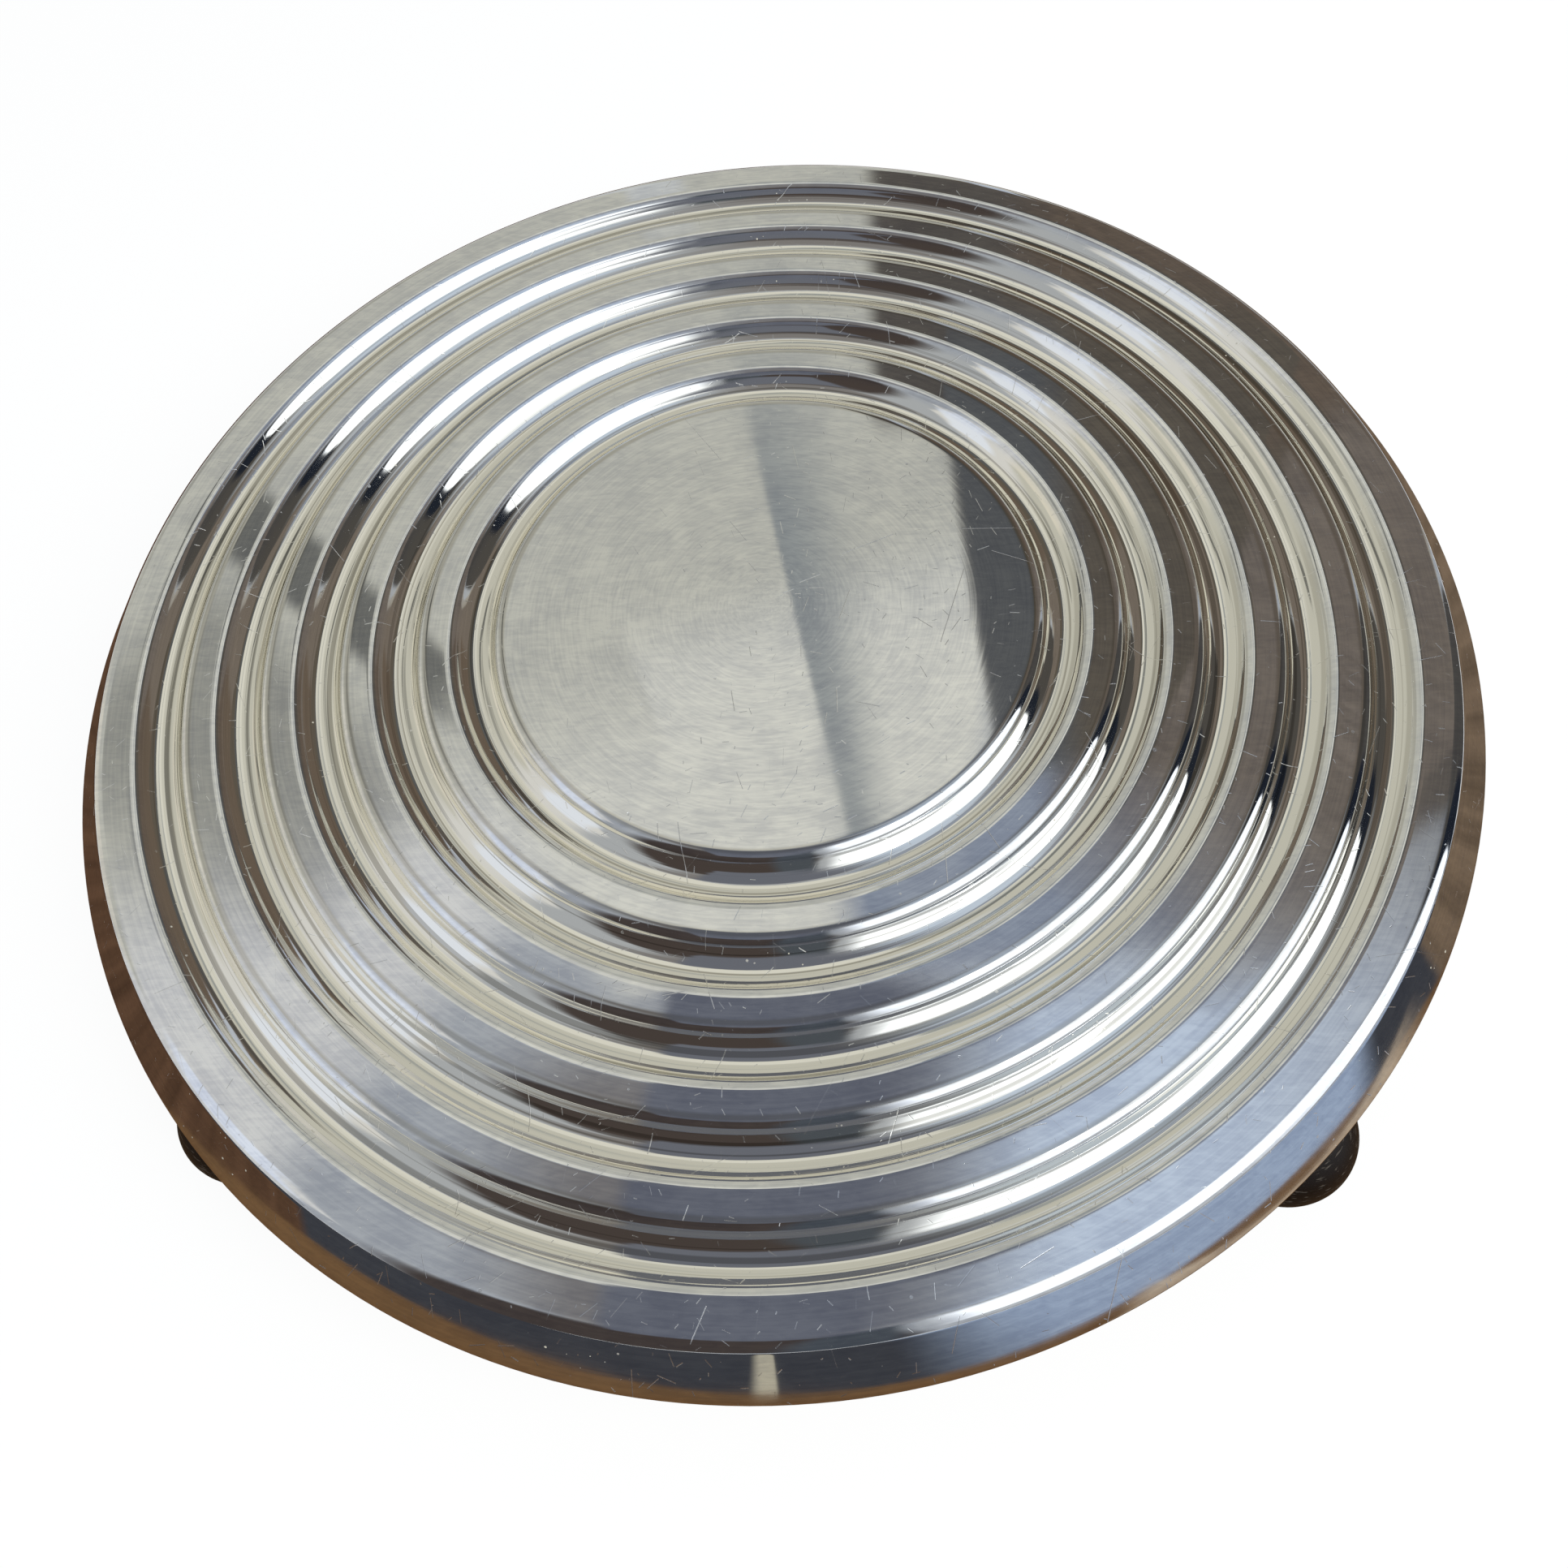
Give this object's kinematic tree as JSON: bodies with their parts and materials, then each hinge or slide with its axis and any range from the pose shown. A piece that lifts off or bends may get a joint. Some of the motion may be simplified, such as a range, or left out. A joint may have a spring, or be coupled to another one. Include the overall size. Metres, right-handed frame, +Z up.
{
  "type": "trivet",
  "caption": "Round silver-plated trivet with concentric grooves, a flared skirt and dark turned ball feet.",
  "frame": {"origin": "on the floor under the middle of the plate", "axes": "+Z up along the axis of the plate, -Y towards the front, feet on the diagonals of X and Y"},
  "size_m": [0.23, 0.23, 0.0333],
  "materials": {
    "silver_plate": "polished",
    "ebonised_wood": "satin",
    "brass": "satin"
  },
  "bodies": {
    "root": {"top_shell": "silver_plate", "base_plate": "silver_plate", "collar_front_right": "silver_plate", "collar_back_right": "silver_plate", "collar_back_left": "silver_plate", "collar_front_left": "silver_plate", "foot_front_right": "ebonised_wood", "foot_back_right": "ebonised_wood", "foot_back_left": "ebonised_wood", "foot_front_left": "ebonised_wood", "foot_washer_front_right": "brass", "foot_washer_back_right": "brass", "foot_washer_back_left": "brass", "foot_washer_front_left": "brass", "foot_screw_front_right": "brass", "foot_screw_back_right": "brass", "foot_screw_back_left": "brass", "foot_screw_front_left": "brass"}
  },
  "joints": []
}
